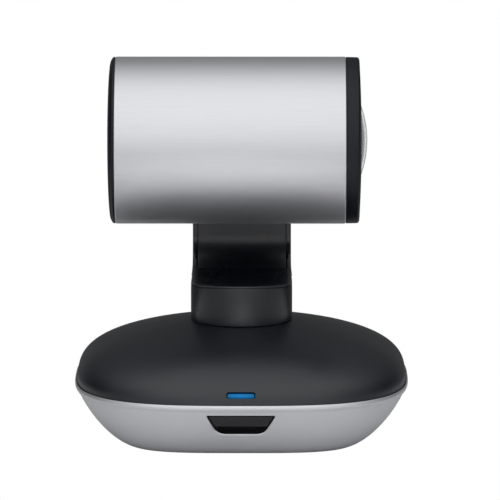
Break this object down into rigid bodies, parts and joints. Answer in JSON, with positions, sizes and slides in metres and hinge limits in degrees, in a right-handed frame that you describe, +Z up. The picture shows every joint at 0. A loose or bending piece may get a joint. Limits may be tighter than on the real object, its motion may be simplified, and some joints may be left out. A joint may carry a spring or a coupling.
{
  "type": "pan-tilt-zoom conference camera",
  "caption": "Desktop camera with a tubular head that tilts on a side arm and pans on a domed rounded-square base.",
  "frame": {"origin": "centre of the base on the surface that its feet stand on, on the pan axis", "axes": "+Z up along the pan axis, -Y the front of the base, +X the way the lens points at rest, Y the tilt axis"},
  "size_m": [0.1298, 0.1298, 0.1487],
  "materials": {
    "tube_aluminium": "brushed, clear anodised",
    "silver_shell": "fine metallic silver paint",
    "black_shell": "fine matt grain",
    "gloss_black": "polished",
    "foot_rubber": "matt",
    "steel": "satin",
    "brass": "turned",
    "nylon": "natural white",
    "circuit_board": "green solder mask",
    "black_part": "moulded",
    "clear_glass": "polished, coated",
    "status_blue": "lit light pipe"
  },
  "bodies": {
    "base": {"base_bowl": "silver_shell", "base_top_cover": "black_shell", "base_bottom_plate": "black_shell", "ir_window": "gloss_black", "status_light": "status_blue", "status_led": "black_part", "ir_receiver": "black_part", "rear_panel": "black_shell", "usb_socket": "steel", "dc_jack": "black_part", "control_socket": "black_part", "main_board": "circuit_board", "tripod_insert": "brass", "pan_frame": "steel", "pan_motor": "steel", "pan_retainer": "steel", "foot_front_left": "foot_rubber", "base_screw_front_left": "steel", "foot_front_right": "foot_rubber", "base_screw_front_right": "steel", "foot_rear_left": "foot_rubber", "base_screw_rear_left": "steel", "foot_rear_right": "foot_rubber", "base_screw_rear_right": "steel"},
    "turret": {"turret_collar": "black_shell", "turret_cap": "black_shell", "arm_outer_shell": "black_shell", "arm_inner_cover": "black_shell", "arm_frame": "steel", "tilt_bearing": "brass", "tilt_motor": "steel", "arm_screw_left": "steel", "arm_screw_right": "steel", "pan_gear": "nylon", "pan_bush": "brass", "pan_hub": "steel"},
    "head": {"head_tube": "tube_aluminium", "front_bezel": "black_shell", "rear_cap": "black_shell", "lens_dome": "clear_glass", "front_element": "clear_glass", "lens_ring": "gloss_black", "lens_housing": "black_part", "guide_rod_upper": "steel", "guide_rod_lower": "steel", "zoom_motor": "steel", "sensor_board": "circuit_board", "image_sensor": "black_part", "video_board": "circuit_board", "head_frame": "steel", "tilt_boss": "black_shell", "tilt_shaft": "steel", "tilt_gear": "nylon"},
    "pan_pinion": {"pan_pinion": "brass"},
    "tilt_pinion": {"tilt_pinion": "brass"},
    "zoom_screw": {"zoom_screw": "steel"},
    "zoom_group": {"zoom_carrier": "black_part", "zoom_lens": "clear_glass"},
    "focus_group": {"focus_carrier": "black_part", "focus_lens": "clear_glass"}
  },
  "joints": [
    {"name": "pan", "type": "hinge", "parent": "base", "child": "turret", "pos_m": [0, 0, 0.05], "axis": [0, 0, 1], "range_deg": [-220, 40]},
    {"name": "pan_pinion_spin", "type": "hinge", "parent": "base", "child": "pan_pinion", "pos_m": [-0.026, 0, 0.034], "axis": [0, 0, 1], "range_deg": [-134, 734]},
    {"name": "tilt", "type": "hinge", "parent": "turret", "child": "head", "pos_m": [0, 0, 0.1162], "axis": [0, 1, 0], "range_deg": [-35, 95]},
    {"name": "tilt_pinion_spin", "type": "hinge", "parent": "turret", "child": "tilt_pinion", "pos_m": [0, 0, 0.0962], "axis": [0, 1, 0], "range_deg": [-222, 82]},
    {"name": "zoom_screw_spin", "type": "hinge", "parent": "head", "child": "zoom_screw", "pos_m": [0, 0.0125, 0.1287], "axis": [1, 0, 0], "range_deg": [-2, 724]},
    {"name": "zoom_slide", "type": "slide", "parent": "head", "child": "zoom_group", "axis": [1, 0, 0], "range_m": [0, 0.014]},
    {"name": "focus_slide", "type": "slide", "parent": "head", "child": "focus_group", "axis": [1, 0, 0], "range_m": [-0.005, 0.004]}
  ],
  "couplings": [
    {"joint": "pan_pinion_spin", "follows": "pan", "ratio": -3.3333},
    {"joint": "tilt_pinion_spin", "follows": "tilt", "ratio": -2.3333},
    {"joint": "zoom_screw_spin", "follows": "zoom_slide", "rad_per_m": 897.6}
  ]
}
